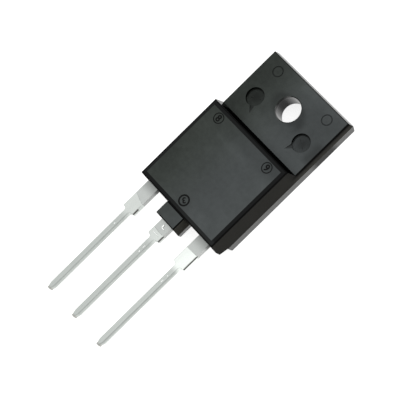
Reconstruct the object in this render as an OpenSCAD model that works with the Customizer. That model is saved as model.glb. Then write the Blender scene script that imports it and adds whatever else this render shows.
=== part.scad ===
// Fully moulded power transistor with three leads and one mounting hole.
// It lies on its flat back. The origin is on the axis of the mounting hole, at the back face.
// +Z points out of the front, +Y towards the tab end, and the leads run along -Y.

/* [Case] */
// Width of the case at the parting line of its sides
case_w = 15.5; // [14.5:0.1:17]
// Length of the case from the tab end to the lead end
case_len = 24.7; // [23.5:0.1:27]
// Thickness of the case over the chip
case_t = 5.5; // [5.2:0.1:6.5]
// Length of the thin mounting tab
tab_len = 10.05; // [9:0.05:10.6]
// Thickness of the mounting tab
tab_t = 3; // [2.9:0.1:3.6]
// Length of the flat back face, from the tab end
back_len = 23.1; // [21.5:0.1:23.2]
// Height of the notch under the lead end, at its inner wall
notch_h = 1.6; // [0.8:0.1:2.2]
// Rise of the notch's ceiling towards the lead end
notch_rise = 0.4; // [0:0.1:0.6]
// Height of the parting line on the sides and on the tab end
side_parting = 1.5; // [0.8:0.1:2]

/* [Case walls and edges] */
// Slope of the side walls above the parting line, in degrees
side_draft = 1.5; // [1:0.5:5]
// Slope of the side walls below the parting line, in degrees
under_draft = 2; // [1:0.5:5]
// Slope of the lead end, in degrees
end_draft = 5; // [1:0.5:8]
// Slope of the tab end and of the step wall between tab and body, in degrees
step_draft = 11; // [5:1:20]
// Width of the sloped rim round the front face
rim_w = 0.45; // [0.2:0.05:0.6]
// Fall of the sloped rim
rim_drop = 0.13; // [0.05:0.01:0.2]
// Radius of the rounded front edges
edge_r = 0.2; // [0.1:0.02:0.3]

/* [Mounting hole] */
// Diameter of the mounting hole
hole_d = 3.6; // [3:0.1:4]
// Distance from the hole axis to the tab end
hole_to_end = 4.55; // [4:0.05:5]
// Width of the chamfer at both mouths of the hole
hole_chamfer = 0.1; // [0.05:0.01:0.15]

/* [Boss round the centre lead] */
// Width of the boss at its parting line
boss_w = 4.2; // [3.4:0.1:4.6]
// Length of the boss past the lead end
boss_len = 2.15; // [1.5:0.05:2.6]
// Depth of the boss's front below the front face
boss_below = 0.2; // [0.15:0.01:0.6]
// Height of the boss's underside above the back face
boss_under = 2.2; // [1.8:0.1:2.6]
// Slope of the boss's walls, in degrees
boss_draft = 8; // [3:0.5:10]

/* [Mould marks] */
// Diameter of the two dimples left by the support pins
dimple_d = 2.7; // [2:0.1:3]
// Depth of a dimple at its rim
dimple_depth = 0.42; // [0.2:0.02:0.5]
// Extra depth of a dimple at its centre
dimple_dish = 0.12; // [0.02:0.02:0.14]
// Distance of a dimple from the centre line
dimple_x = 4.85; // [4.4:0.05:5.2]
// Distance of a dimple from the hole axis, towards the leads
dimple_y = 1.95; // [1.6:0.05:2.4]
// Length of the flow mark at a dimple, from the dimple's centre to the tip
flow_len = 2.4; // [1.8:0.05:2.6]
// Width of a flow mark, measured across the dimple's centre
flow_w = 1.5; // [0.6:0.1:1.6]
// Depth of a flow mark, measured at the dimple's centre
flow_depth = 0.52; // [0.3:0.02:0.54]
// Diameter of the ejector pins, measured to the middle of the ring they leave
pin_d = 1.45; // [1:0.05:1.8]
// Width of the ring round an ejector pin
pin_ring_w = 0.16; // [0.1:0.02:0.3]
// Width of the ring round the pin nearest the leads
low_ring_w = 0.24; // [0.1:0.02:0.3]
// Depth of that ring
pin_ring_depth = 0.06; // [0.03:0.01:0.12]
// Distance of the outer pin marks from the centre line
pin_x = 5.1; // [4:0.05:5.4]
// Distance of the tab's pin marks from the hole axis, towards the tab end
pin_tab_y = 2.6; // [2.2:0.05:3]
// Distance of the upper pin marks on the body from the foot of the step
pin_body_y = 1.95; // [1.8:0.05:3]
// Distance of the lowest pin mark from the lead end
pin_low_y = 1.8; // [1.5:0.05:3]

/* [Leads] */
// Distance between neighbouring leads
pitch = 5.55; // [5.1:0.05:5.7]
// Height of the underside of the leads above the back face
lead_under = 3.3; // [3.1:0.05:3.5]
// Thickness of the leads
lead_t = 0.9; // [0.7:0.05:1]
// Length of the leads past the lead end
lead_len = 19.8; // [17:0.1:24]
// Length of the thin part of a lead
thin_len = 15.1; // [12:0.1:16]
// Width of the thin part of a lead
thin_w = 0.75; // [0.6:0.05:1]
// Width of a lead next to the case
wide_w = 2; // [1.6:0.05:2.4]
// Size of the cut outer corners where a lead narrows
shoulder_cut = 0.1; // [0.05:0.05:0.2]
// Radius of the inner corners where a lead narrows
shoulder_r = 0.3; // [0.15:0.05:0.4]
// Length of the taper near the tip
taper_len = 0.45; // [0.3:0.05:1]
// Length of the straight nib where the lead was cut off
nib_len = 0.3; // [0.1:0.05:0.6]
// Width of the nib
nib_w = 0.45; // [0.3:0.05:0.55]

/* [Inner posts of the outer leads] */
// Length of the base and emitter leads inside the case
post_in = 3.1; // [2.6:0.1:3.6]
// Width of the bonding post at the inner end
post_w = 3; // [2.6:0.1:3.2]
// Length of the bonding post
post_len = 1.6; // [1.3:0.1:1.8]

/* [Header] */
// Thickness of the moulding behind the header
back_t = 0.8; // [0.6:0.05:0.85]
// Thickness of the copper header
header_t = 1.4; // [1.2:0.05:1.45]
// Width of the header
header_w = 12.4; // [11.8:0.1:12.8]
// Distance from the lead end to the header
header_gap = 4.4; // [4.2:0.1:5]
// How far the header runs past the hole axis, towards the tab end
header_past = 1; // [0.6:0.1:1.6]
// Diameter of the hole in the header that keeps it clear of the screw
header_hole_d = 6; // [5.4:0.1:6.4]
// Radius of the header's corners
header_corner = 0.5; // [0.3:0.1:1]
// Width of the bent strip that joins the centre lead to the header
neck_w = 2.6; // [2.4:0.1:3]

/* [Chip and bond wires] */
// Side of the square chip
die_w = 5.6; // [5.2:0.1:6.2]
// Thickness of the chip
die_t = 0.3; // [0.2:0.02:0.34]
// Distance from the lead-side edge of the header to the chip's centre
die_from_edge = 5.1; // [4.6:0.1:5.5]
// Thickness of the solder under the chip
solder_t = 0.06; // [0.04:0.01:0.08]
// How far the solder shows round the chip
solder_fillet = 0.2; // [0.1:0.05:0.3]
// Diameter of the base bond wire
base_wire_d = 0.25; // [0.2:0.01:0.3]
// Diameter of the emitter bond wires
emitter_wire_d = 0.38; // [0.3:0.01:0.42]
// Height of a wire's arch above the straight line between its feet
wire_rise = 1; // [0.8:0.05:1.1]
// Distance between the two emitter wires
wire_gap = 1.1; // [0.9:0.05:1.3]

/* [Hidden] */

// Number of sides that stand for a full circle in the preview
$fn = 48;

// Colours of the pieces
case_colour = "#3a3c3e";
lead_colour = "#c4c8c6";
die_colour = "#6f7a86";
solder_colour = "#9a9c9a";
wire_colour = "#d5d7d8";

// Places along Y
tab_end = hole_to_end;
step_foot = tab_end - tab_len;
lead_end = tab_end - case_len;
back_end = tab_end - back_len;
boss_end = lead_end - boss_len;
tip_end = lead_end - lead_len;
shoulder = tip_end + thin_len;
post_end = lead_end + post_in;
post_mid = post_end - post_len / 2;
header_edge = lead_end + header_gap;
die_y = header_edge + die_from_edge;

// Heights
lead_top = lead_under + lead_t;
header_top = back_t + header_t;
die_base = header_top + solder_t;
die_top = die_base + die_t;
boss_top = case_t - boss_below;
notch_end_h = notch_h + notch_rise;

// Slope of the wall of the lead-end notch, in degrees
notch_draft = 7;
// Direction of a flow mark, towards the leads and the centre line, in degrees
flow_angle = -119;
// Size of the cut at the top edges of the boss
boss_edge = 0.15;
// Number of flats in a rounded front edge
edge_steps = 4;
// Distance of the base pad from the chip's centre, across and along, in chip widths
base_pad = [0.3, 0.29];
// Distance of the emitter pads from the chip's centre, across and along, in chip widths
emitter_pad = [0.21, 0.16];
// Distance of the wires from the middle of a post, towards the centre line, in post widths
post_inset = 0.13;
// Length, width and height of a wire's flattened foot, in wire diameters
foot_size = [3, 1.3, 0.6];
// Share of the foot's length that lies beyond the end of the arch
foot_beyond = 0.7;
// Overlap of blocks that are moulded as one
join = 1;
// Reach of a cutting shape past the surface that it cuts
past = 1;

// Half a cross-section of a block whose walls lean in from a parting line.
// It runs from the underside to the middle of the front, with a rounded edge and a sloped rim.
function wall_at(half, parting, draft, z) = half - (z - parting) * tan(draft);

function rounded_edge(x, z, r) =
    [for (i = [0 : edge_steps]) [x - r + r * cos(90 * i / edge_steps), z + r * sin(90 * i / edge_steps)]];

function half_section(half, parting, draft_low, draft_up, top, slope_w, slope_drop, r) =
    let (edge_z = top - slope_drop - r, edge_x = wall_at(half, parting, draft_up, edge_z))
    concat(
        [[half - parting * tan(draft_low), 0], [half, parting]],
        rounded_edge(edge_x, edge_z, r),
        slope_w > 0 ? [[edge_x - r - slope_w, top]] : []);

// The same points in the opposite order, on the other side of the centre line
function mirrored(points) = [for (i = [len(points) - 1 : -1 : 0]) [-points[i][0], points[i][1]]];

// Extrusion of an outline in X and Z along Y, from y0 to y1
module along_y(points, y0, y1) {
    translate([0, y1, 0]) rotate([90, 0, 0]) linear_extrude(y1 - y0) polygon(points);
}

// Extrusion of an outline in Y and Z across the width, to both sides
module across_x(points, half) {
    translate([-half, 0, 0]) rotate([90, 0, 90]) linear_extrude(2 * half) polygon(points);
}

module symmetric_along_y(half_points, y0, y1) {
    along_y(concat(half_points, mirrored(half_points)), y0, y1);
}

// Thick body over the chip, with the raised underside at the lead end
module body_block() {
    edge_z = case_t - rim_drop - edge_r;
    lead_wall = lead_end + (edge_z - lead_under) * tan(end_draft);
    step_wall = step_foot - (edge_z - tab_t) * tan(step_draft);
    lead_side = [for (p = rounded_edge(0, edge_z, edge_r)) [lead_wall - p[0], p[1]]];
    step_side = [for (p = rounded_edge(0, edge_z, edge_r)) [step_wall + p[0], p[1]]];
    side_view = concat(
        [[step_foot, 0], [step_foot, tab_t]],
        step_side,
        [[step_wall - edge_r - rim_w, case_t], [lead_wall + edge_r + rim_w, case_t]],
        [for (i = [edge_steps : -1 : 0]) lead_side[i]],
        [[lead_end, lead_under],
         [lead_end + (lead_under - notch_end_h) * tan(end_draft), notch_end_h],
         [back_end - notch_h * tan(notch_draft), notch_h],
         [back_end, 0]]);
    intersection() {
        symmetric_along_y(
            half_section(case_w / 2, side_parting, under_draft, side_draft, case_t, rim_w, rim_drop, edge_r),
            lead_end - join, step_foot + join);
        across_x(side_view, case_w);
    }
}

// Thin tab with the mounting hole
module tab_block() {
    edge_z = tab_t - edge_r;
    end_wall = wall_at(tab_end, side_parting, step_draft, edge_z);
    end_side = [for (p = rounded_edge(0, edge_z, edge_r)) [end_wall + p[0], p[1]]];
    side_view = concat(
        [[step_foot - join, 0], [tab_end - side_parting * tan(step_draft), 0], [tab_end, side_parting]],
        end_side,
        [[step_foot - join, tab_t]]);
    intersection() {
        symmetric_along_y(
            half_section(case_w / 2, side_parting, under_draft, side_draft, tab_t, 0, 0, edge_r),
            step_foot - 2 * join, tab_end + join);
        across_x(side_view, case_w);
    }
}

// Boss that wraps the root of the centre lead
module boss_block() {
    half = boss_w / 2;
    low = half - (lead_under - boss_under) * tan(boss_draft);
    high_z = boss_top - boss_edge;
    high = wall_at(half, lead_under, boss_draft, high_z);
    front_high = boss_end + (high_z - lead_under) * tan(end_draft);
    front_low = boss_end + (lead_under - boss_under) * tan(end_draft);
    front_view = [[low, boss_under], [half, lead_under], [high, high_z], [high - boss_edge, boss_top]];
    side_view = [[lead_end + join, boss_under], [lead_end + join, boss_top],
                 [front_high + boss_edge, boss_top], [front_high, high_z],
                 [boss_end, lead_under], [front_low, boss_under]];
    intersection() {
        symmetric_along_y(front_view, boss_end - join, lead_end + 2 * join);
        across_x(side_view, boss_w);
    }
}

// Screw hole with a chamfer at each mouth
module mounting_hole() {
    r = hole_d / 2;
    translate([0, 0, -past]) cylinder(r = r, h = tab_t + 2 * past);
    mouth = [[0, -hole_chamfer], [r, -hole_chamfer], [r + hole_chamfer + past, past], [0, past]];
    translate([0, 0, tab_t]) rotate_extrude() polygon(mouth);
    mirror([0, 0, 1]) rotate_extrude() polygon(mouth);
}

// Round dimple left by a support pin, with a flow mark that fades out towards the body
module dimple() {
    r = dimple_d / 2;
    translate([0, 0, tab_t]) rotate_extrude()
        polygon([[0, -dimple_depth - dimple_dish], [r, -dimple_depth], [r, past], [0, past]]);
    translate([0, 0, tab_t]) rotate([0, 0, flow_angle]) translate([flow_len, 0, 0])
        rotate([0, -atan(flow_depth / flow_len), 0]) translate([-flow_len, 0, 0])
            linear_extrude(past) polygon([[0, -flow_w / 2], [flow_len, 0], [0, flow_w / 2]]);
}

module both_sides() {
    children();
    mirror([1, 0, 0]) children();
}

// Ring of width w pressed into a face round an ejector pin
module pin_ring(z, w) {
    translate([0, 0, z - pin_ring_depth]) difference() {
        cylinder(d = pin_d + w, h = pin_ring_depth + past);
        translate([0, 0, -past]) cylinder(d = pin_d - w, h = pin_ring_depth + 3 * past);
    }
}

module mould_marks() {
    both_sides() translate([dimple_x, -dimple_y, 0]) dimple();
    both_sides() translate([pin_x, pin_tab_y, 0]) pin_ring(tab_t, pin_ring_w);
    both_sides() translate([pin_x, step_foot - pin_body_y, 0]) pin_ring(case_t, pin_ring_w);
    translate([0, lead_end + pin_low_y, 0]) pin_ring(case_t, low_ring_w);
}

// One-piece moulding round the header, the leads, the chip and the wires
module moulded_case() {
    color(case_colour) difference() {
        union() {
            body_block();
            tab_block();
            boss_block();
        }
        mounting_hole();
        mould_marks();
        collector_shape();
        outer_lead(-pitch);
        outer_lead(pitch);
        die_shape();
        solder_shape();
        base_wire_shape();
        emitter_wire_shape(-1);
        emitter_wire_shape(1);
    }
}

// Half the outline of a lead from inner_y to its tip, seen from the front and centred on x = 0
function lead_outline(inner_y) = [
    [wide_w / 2, inner_y], [wide_w / 2, shoulder + shoulder_cut], [wide_w / 2 - shoulder_cut, shoulder],
    [thin_w / 2, shoulder], [thin_w / 2, tip_end + nib_len + taper_len],
    [nib_w / 2, tip_end + nib_len], [nib_w / 2, tip_end]];

// Rounded inner corner between the wide and the thin part
module shoulder_fillet() {
    translate([thin_w / 2, shoulder - shoulder_r]) difference() {
        translate([-thin_w / 4, 0]) square([shoulder_r + thin_w / 4, shoulder_r + shoulder_cut]);
        translate([shoulder_r, 0]) circle(r = shoulder_r);
    }
}

module lead_blank(inner_y) {
    half = lead_outline(inner_y);
    translate([0, 0, lead_under]) linear_extrude(lead_t) {
        polygon(concat(half, mirrored(half)));
        both_sides() shoulder_fillet();
    }
}

// Base or emitter lead with its bonding post, centred on x
module outer_lead(x) {
    translate([x, 0, 0]) {
        lead_blank(post_end);
        translate([-post_w / 2, post_end - post_len, lead_under]) cube([post_w, post_len, lead_t]);
    }
}

// Plan of the header: a plate with rounded corners, open round the screw hole
module header_plan() {
    half = header_w / 2;
    c = header_corner;
    difference() {
        union() {
            translate([-half, header_edge + c]) square([header_w, header_past - header_edge - 2 * c]);
            translate([-half + c, header_edge]) square([header_w - 2 * c, header_past - header_edge]);
            for (x = [-half + c, half - c], y = [header_edge + c, header_past - c])
                translate([x, y]) circle(r = c);
        }
        circle(d = header_hole_d);
    }
}

// Copper header, bent neck and collector lead, stamped in one piece
module collector_shape() {
    neck_lead = header_edge - (lead_top - header_top);
    lead_blank(neck_lead);
    translate([0, 0, back_t]) linear_extrude(header_t) header_plan();
    across_x([[neck_lead - lead_t, lead_under], [neck_lead - lead_t, lead_top], [neck_lead, lead_top],
              [header_edge, header_top], [header_edge + join, header_top],
              [header_edge + join, back_t], [header_edge, back_t],
              [neck_lead - lead_t / 2, lead_under]],
             neck_w / 2);
}

module collector_frame() {
    color(lead_colour) collector_shape();
}

module base_lead() {
    color(lead_colour) outer_lead(-pitch);
}

module emitter_lead() {
    color(lead_colour) outer_lead(pitch);
}

module die_shape() {
    translate([-die_w / 2, die_y - die_w / 2, die_base]) cube([die_w, die_w, die_t]);
}

module silicon_die() {
    color(die_colour) die_shape();
}

module solder_shape() {
    side = die_w + 2 * solder_fillet;
    translate([-side / 2, die_y - side / 2, header_top]) cube([side, side, solder_t]);
}

module die_solder() {
    color(solder_colour) solder_shape();
}

// Bond wire from a to b: an arch with a flattened foot at each end
module bond_wire(a, b, d) {
    run = norm([b[0] - a[0], b[1] - a[1]]);
    climb = b[2] - a[2];
    chord = norm([run, climb]);
    tilt = atan2(climb, run);
    arch_r = (chord * chord / 4 + wire_rise * wire_rise) / (2 * wire_rise);
    half_angle = asin(chord / (2 * arch_r));
    drop = arch_r - wire_rise;
    foot = foot_size * d;
    translate(a) rotate([0, 0, atan2(b[1] - a[1], b[0] - a[0])]) {
        translate([run / 2 + drop * sin(tilt), 0, d / 2 + climb / 2 - drop * cos(tilt)])
            rotate([90, 0, 0]) rotate([0, 0, 90 + tilt - half_angle])
                rotate_extrude(angle = 2 * half_angle) translate([arch_r, 0]) circle(d = d);
        translate([-foot[0] * foot_beyond, -foot[1] / 2, 0]) cube(foot);
        translate([run - foot[0] * (1 - foot_beyond), -foot[1] / 2, climb]) cube(foot);
    }
}

module base_wire_shape() {
    pad = base_pad * die_w;
    bond_wire([-pad[0], die_y - pad[1], die_top],
              [-pitch + post_inset * post_w, post_mid, lead_top], base_wire_d);
}

module base_wire() {
    color(wire_colour) base_wire_shape();
}

// Emitter wire on the inner side (-1) or the outer side (1) of the pair
module emitter_wire_shape(side) {
    pad = emitter_pad * die_w;
    shift = side * wire_gap / 2;
    bond_wire([pad[0] + shift, die_y - pad[1], die_top],
              [pitch - post_inset * post_w + shift, post_mid, lead_top], emitter_wire_d);
}

module emitter_wire_a() {
    color(wire_colour) emitter_wire_shape(-1);
}

module emitter_wire_b() {
    color(wire_colour) emitter_wire_shape(1);
}

moulded_case();
collector_frame();
base_lead();
emitter_lead();
silicon_die();
die_solder();
base_wire();
emitter_wire_a();
emitter_wire_b();
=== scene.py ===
import math
from types import SimpleNamespace

import bmesh
import bpy
from bpy.props import FloatProperty, FloatVectorProperty, IntProperty, PointerProperty, StringProperty
from mathutils import Matrix, Vector, noise


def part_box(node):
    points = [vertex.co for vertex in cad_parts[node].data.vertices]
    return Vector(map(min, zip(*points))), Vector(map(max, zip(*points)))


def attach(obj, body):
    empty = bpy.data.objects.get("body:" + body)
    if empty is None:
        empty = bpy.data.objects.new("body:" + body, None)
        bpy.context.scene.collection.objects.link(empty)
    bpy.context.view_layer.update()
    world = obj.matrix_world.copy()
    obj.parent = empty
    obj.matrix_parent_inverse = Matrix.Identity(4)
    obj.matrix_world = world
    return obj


bl_info = {
    "name": "Moulded power transistor",
    "version": (1, 0, 0),
    "blender": (4, 5, 0),
    "location": "3D View > Sidebar > Transistor",
    "description": "Dresses a moulded three-lead power transistor and sets its stage",
    "category": "Object",
}

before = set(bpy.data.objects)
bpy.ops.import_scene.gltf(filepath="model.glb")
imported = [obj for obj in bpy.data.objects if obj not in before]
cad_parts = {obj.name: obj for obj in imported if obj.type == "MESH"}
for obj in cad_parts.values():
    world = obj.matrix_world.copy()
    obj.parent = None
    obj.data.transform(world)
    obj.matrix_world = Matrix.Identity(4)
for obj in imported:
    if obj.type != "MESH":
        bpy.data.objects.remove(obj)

# Places on the part in metres. The body ends where the leads leave it, and the boss goes on from there.
MM = 0.001
CASE_LOW, CASE_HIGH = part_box("moulded_case")
LEAD_LOW, LEAD_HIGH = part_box("base_lead")
BOSS_LENGTH = 2.15 * MM
BODY_END = CASE_LOW.y + BOSS_LENGTH
PITCH = -(LEAD_LOW.x + LEAD_HIGH.x) / 2

# Places on the part in millimetres, for the materials
BODY_TOP = CASE_HIGH.z / MM
BODY_END_MM = BODY_END / MM
LEAD_TOP = LEAD_HIGH.z / MM
LEAD_TIP = LEAD_LOW.y / MM
TAB_TOP = 3.0
DIMPLE_X, DIMPLE_Y = 4.85, -1.95

LEAD_NODES = ("base_lead", "collector_frame", "emitter_lead")

WHITE = (1.0, 1.0, 1.0)


# Property groups

def colour(name, description, default):
    return FloatVectorProperty(name=name, description=description, default=default, size=3,
                               min=0.0, max=1.0, subtype="COLOR")


def length(name, description, default_mm):
    return FloatProperty(name=name, description=description, default=default_mm * MM,
                         unit="LENGTH", subtype="DISTANCE", precision=5)


def share(name, description, default):
    return FloatProperty(name=name, description=description, default=default,
                         min=0.0, max=1.0, subtype="FACTOR")


def strength(name, description, default, unit="NONE"):
    return FloatProperty(name=name, description=description, default=default, min=0.0, unit=unit)


class CaseFinish(bpy.types.PropertyGroup):
    matt: colour("Matt front", "Colour of the eroded front faces", (0.066, 0.073, 0.0735))
    aged: colour("Matt front, left side", "Colour of the front towards its left side",
                 (0.065, 0.075, 0.067))
    wall: colour("Walls", "Colour of the drafted walls", (0.0165, 0.016, 0.0135))
    rim: colour("Rim", "Colour of the sloped rim", (0.0045, 0.005, 0.005))
    edge: colour("Edges", "Colour of the rounded edges of the front", (0.002, 0.002, 0.002))
    gloss: colour("Polished walls", "Colour of the step wall and of the tab end", (0.001, 0.001, 0.001))
    bore: colour("Hole wall", "Colour of the polished wall of the hole", (0.022, 0.023, 0.022))
    under: colour("Below the parting line", "Colour of the polished walls below the parting line",
                  (0.030, 0.031, 0.030))
    cloud: share("Clouding", "Strength of the soft tone changes in the front", 0.22)
    dimple: share("Dimples", "Tone of the floors of the dimples and flow marks", 0.62)
    # This tone darkens the floors of the ejector rings as painted shade
    ring: share("Rings", "Tone of the floors of the ejector rings", 0.12)
    grain: length("Grain height", "Height of the fine grain of the matt faces", 0.004)


class LeadFinish(bpy.types.PropertyGroup):
    plate: colour("Plating", "Colour of the bare tin plating next to the case", (0.455, 0.475, 0.46))
    # A little darker than the top of the plating: painted shade of the sides
    side: colour("Sides of the plating", "Colour of the side faces of the bare plating",
                 (0.43, 0.44, 0.43))
    dipped: colour("Solder", "Colour of the solder on the wide part", (0.60, 0.63, 0.605))
    thin: colour("Thin part", "Colour of the solder on the thin part", (0.448, 0.474, 0.454))
    # A painted shade line along the upper edge of the sides of the wide part
    painted_shade_line: colour("Groove", "Colour of the dull line at the upper edge of the sides",
                   (0.08, 0.077, 0.074))
    # Painted highlight on the tops of the beads
    bead_highlight: colour("Beads", "Colour of the small beads of solder", (0.93, 0.95, 0.93))
    cut_end: colour("Cut end", "Colour of the cut metal at the tip", (0.22, 0.17, 0.14))
    copper: colour("Copper", "Colour of the copper inside the case", (0.72, 0.38, 0.22))


class CoatShape(bpy.types.PropertyGroup):
    coat: length("Coat", "Thickness of the solder on a lead", 0.035)
    round: length("Rounding", "Radius of the solder at a lead's long edges", 0.11)
    corner: length("Shoulder corner", "Radius of the outer corners of the shoulder", 0.18)
    fillet: length("Shoulder fillet", "Radius of the inner corners of the shoulder", 0.36)
    crown: length("Crown", "How far the solder stands up along the middle of a lead", 0.035)
    wave: length("Wave", "Height of the waves in the solder", 0.012)
    wide: length("Wide part", "Width of a lead next to the case", 2.0)
    thin: length("Thin part", "Width of the thin part of a lead", 0.75)
    nib: length("Nib", "Width of the nib at the tip", 0.45)
    thin_length: length("Length of the thin part", "From the shoulder to the tip", 15.1)
    taper: length("Taper", "Length of the taper before the nib", 0.45)
    nib_length: length("Nib length", "Length of the nib", 0.3)
    seed: IntProperty(name="Seed", description="Seed of the waves", default=7, min=0)


class NumberShape(bpy.types.PropertyGroup):
    left: StringProperty(name="Left", description="Cavity number in the left ring", default="8")
    right: StringProperty(name="Right", description="Cavity number in the right ring", default="9")
    low: StringProperty(name="Low", description="Cavity number in the ring near the leads", default="3")
    height: length("Height", "Height of a digit", 1.0)
    low_height: length("Low height", "Height of the digit in the ring near the leads", 0.85)
    low_turn: FloatProperty(name="Turn of the low digit", subtype="ANGLE", unit="ROTATION",
                            description="Turn of the digit in the ring near the leads",
                            default=math.radians(-128.0))
    stroke: length("Stroke", "How much bolder the strokes are than the plain figures", 0.012)
    relief: length("Relief", "How far a digit stands out of the face", 0.03)
    ink: colour("Digits", "Colour of the digits", (0.0015, 0.0015, 0.0015))


class StageLook(bpy.types.PropertyGroup):
    floor: colour("Floor", "Colour of the floor", (0.80, 0.80, 0.79))
    back: strength("Backdrop", "Brightness that the floor adds in the camera's view", 0.74)
    air: strength("Ambient", "Brightness of the room", 0.64)
    key: strength("Key light", "Power of the large soft light", 0.45, "POWER")
    side: strength("Side light", "Power of the soft light at the tab end", 0.5, "POWER")


GROUPS = {"transistor_case": CaseFinish, "transistor_leads": LeadFinish, "transistor_coat": CoatShape,
          "transistor_numbers": NumberShape, "transistor_stage": StageLook}


# Node helpers

def new_material(name):
    """A material, its node tree and its shader."""
    material = bpy.data.materials.new(name)
    material.use_nodes = True
    tree = material.node_tree
    return material, tree, tree.nodes["Principled BSDF"]


def feed(tree, socket, value):
    """Links a node's output to the socket, or sets a number or a colour on it."""
    if isinstance(value, bpy.types.NodeSocket):
        tree.links.new(value, socket)
    elif socket.type == "RGBA":
        socket.default_value = (*value, 1.0)
    else:
        socket.default_value = value


def set_shader(tree, shader, values):
    """Links or sets the named sockets of a shader."""
    for name, value in values.items():
        feed(tree, shader.inputs[name], value)


def math_node(tree, operation, *values, clamp=False):
    node = tree.nodes.new("ShaderNodeMath")
    node.operation = operation
    node.use_clamp = clamp
    for socket, value in zip(node.inputs, values):
        feed(tree, socket, value)
    return node.outputs[0]


def chain(tree, operation, first, *others):
    """Applies an operation of two values to the first value and each of the others in turn."""
    for other in others:
        first = math_node(tree, operation, first, other)
    return first


def times(tree, *values):
    return chain(tree, "MULTIPLY", *values)


def plus(tree, *values):
    return chain(tree, "ADD", *values)


def minus(tree, *values):
    return chain(tree, "SUBTRACT", *values)


def largest(tree, *values):
    return chain(tree, "MAXIMUM", *values)


def absolute(tree, value):
    return math_node(tree, "ABSOLUTE", value)


def distance(tree, a, b):
    """Distance from the origin of the point at a and b."""
    return math_node(tree, "SQRT", plus(tree, times(tree, a, a), times(tree, b, b)))


def ramp(tree, value, limits, results):
    """Runs softly from the first result to the second while the value runs between the limits."""
    node = tree.nodes.new("ShaderNodeMapRange")
    node.interpolation_type = "SMOOTHSTEP"
    for name, number in zip(("From Min", "From Max", "To Min", "To Max"), (*limits, *results)):
        node.inputs[name].default_value = number
    tree.links.new(value, node.inputs["Value"])
    return node.outputs["Result"]


def mask(tree, value, limits):
    """0 up to the first limit and 1 from the second on, with a soft step between them."""
    return ramp(tree, value, limits, (0.0, 1.0))


def band(tree, value, low, high, soft):
    """1 where the value lies between low and high, and 0 outside."""
    rise = mask(tree, value, (low - soft, low + soft))
    fall = ramp(tree, value, (high - soft, high + soft), (1.0, 0.0))
    return times(tree, rise, fall)


def beyond(start, offsets):
    """Limits that are given as offsets from a place."""
    return tuple(start + offset for offset in offsets)


# Mix of two numbers or two colours: kind of data, first of its two inputs, and its output
NUMBER_MIX = ("FLOAT", 2, 0)
COLOUR_MIX = ("RGBA", 6, 2)


def mix_node(tree, mix, factor, a, b):
    kind, first_input, output = mix
    node = tree.nodes.new("ShaderNodeMix")
    node.data_type = kind
    feed(tree, node.inputs[0], factor)
    feed(tree, node.inputs[first_input], a)
    feed(tree, node.inputs[first_input + 1], b)
    return node.outputs[output]


def blended(tree, factor, a, b):
    """Number a where the factor is 0, and b where it is 1."""
    return mix_node(tree, NUMBER_MIX, factor, a, b)


def painted(tree, factor, under, over):
    """The first colour, and the second one over it where the factor is 1."""
    return mix_node(tree, COLOUR_MIX, factor, under, over)


def scaled(tree, tint, factor):
    """A colour or a place, times a number."""
    node = tree.nodes.new("ShaderNodeVectorMath")
    node.operation = "SCALE"
    feed(tree, node.inputs[0], tint)
    feed(tree, node.inputs["Scale"], factor)
    return node.outputs[0]


def swing(tree, value, amount):
    """A change of the given size about zero, from a noise that runs from 0 to 1."""
    return times(tree, minus(tree, value, 0.5), amount)


def place(tree):
    """Object position in millimetres, and its X, Y and Z."""
    coordinate = tree.nodes.new("ShaderNodeTexCoord")
    where = scaled(tree, coordinate.outputs["Object"], 1 / MM)
    split = tree.nodes.new("ShaderNodeSeparateXYZ")
    tree.links.new(where, split.inputs[0])
    return where, split.outputs["X"], split.outputs["Y"], split.outputs["Z"]


def facing(tree):
    """X, Y and Z of the face's own direction."""
    geometry = tree.nodes.new("ShaderNodeNewGeometry")
    split = tree.nodes.new("ShaderNodeSeparateXYZ")
    tree.links.new(geometry.outputs["True Normal"], split.inputs[0])
    return split.outputs["X"], split.outputs["Y"], split.outputs["Z"]


def noise_node(tree, vector, scale, detail, roughness, stretch=None):
    if stretch is not None:
        mapping = tree.nodes.new("ShaderNodeMapping")
        mapping.inputs["Scale"].default_value = stretch
        tree.links.new(vector, mapping.inputs["Vector"])
        vector = mapping.outputs["Vector"]
    node = tree.nodes.new("ShaderNodeTexNoise")
    node.inputs["Scale"].default_value = scale
    node.inputs["Detail"].default_value = detail
    node.inputs["Roughness"].default_value = roughness
    tree.links.new(vector, node.inputs["Vector"])
    return node.outputs["Fac"]


def bump(tree, shader, height, relief, amount=1.0):
    node = tree.nodes.new("ShaderNodeBump")
    node.inputs["Strength"].default_value = amount
    node.inputs["Distance"].default_value = relief
    tree.links.new(height, node.inputs["Height"])
    tree.links.new(node.outputs["Normal"], shader.inputs["Normal"])


def dress(name, material):
    """Puts the material in every slot of a carried-over node."""
    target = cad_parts[name]
    if not target.data.materials:
        target.data.materials.append(material)
    for slot in target.material_slots:
        slot.material = material


# Noises: scale, detail, roughness and, where it is stretched, the scale along X, Y and Z
CLOUD = (0.22, 4.0, 0.6)
SPECK = (7.0, 2.0, 0.7)
SMEAR = (0.5, 5.0, 0.65, (0.35, 1.0, 1.0))
MOTTLE = (1.5, 3.0, 0.6)
EPOXY_GRAIN = (14.0, 2.0, 0.6)
PLATE_GRAIN = (3.0, 4.0, 0.6, (3.0, 0.35, 3.0))
SOLDER_WAVE = (1.1, 3.0, 0.55, (1.5, 0.5, 1.0))
SOLDER_RIPPLE = (2.6, 3.0, 0.5, (1.0, 0.45, 1.0))
DIGIT_GRAIN = (9.0, 2.0, 0.6)

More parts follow.
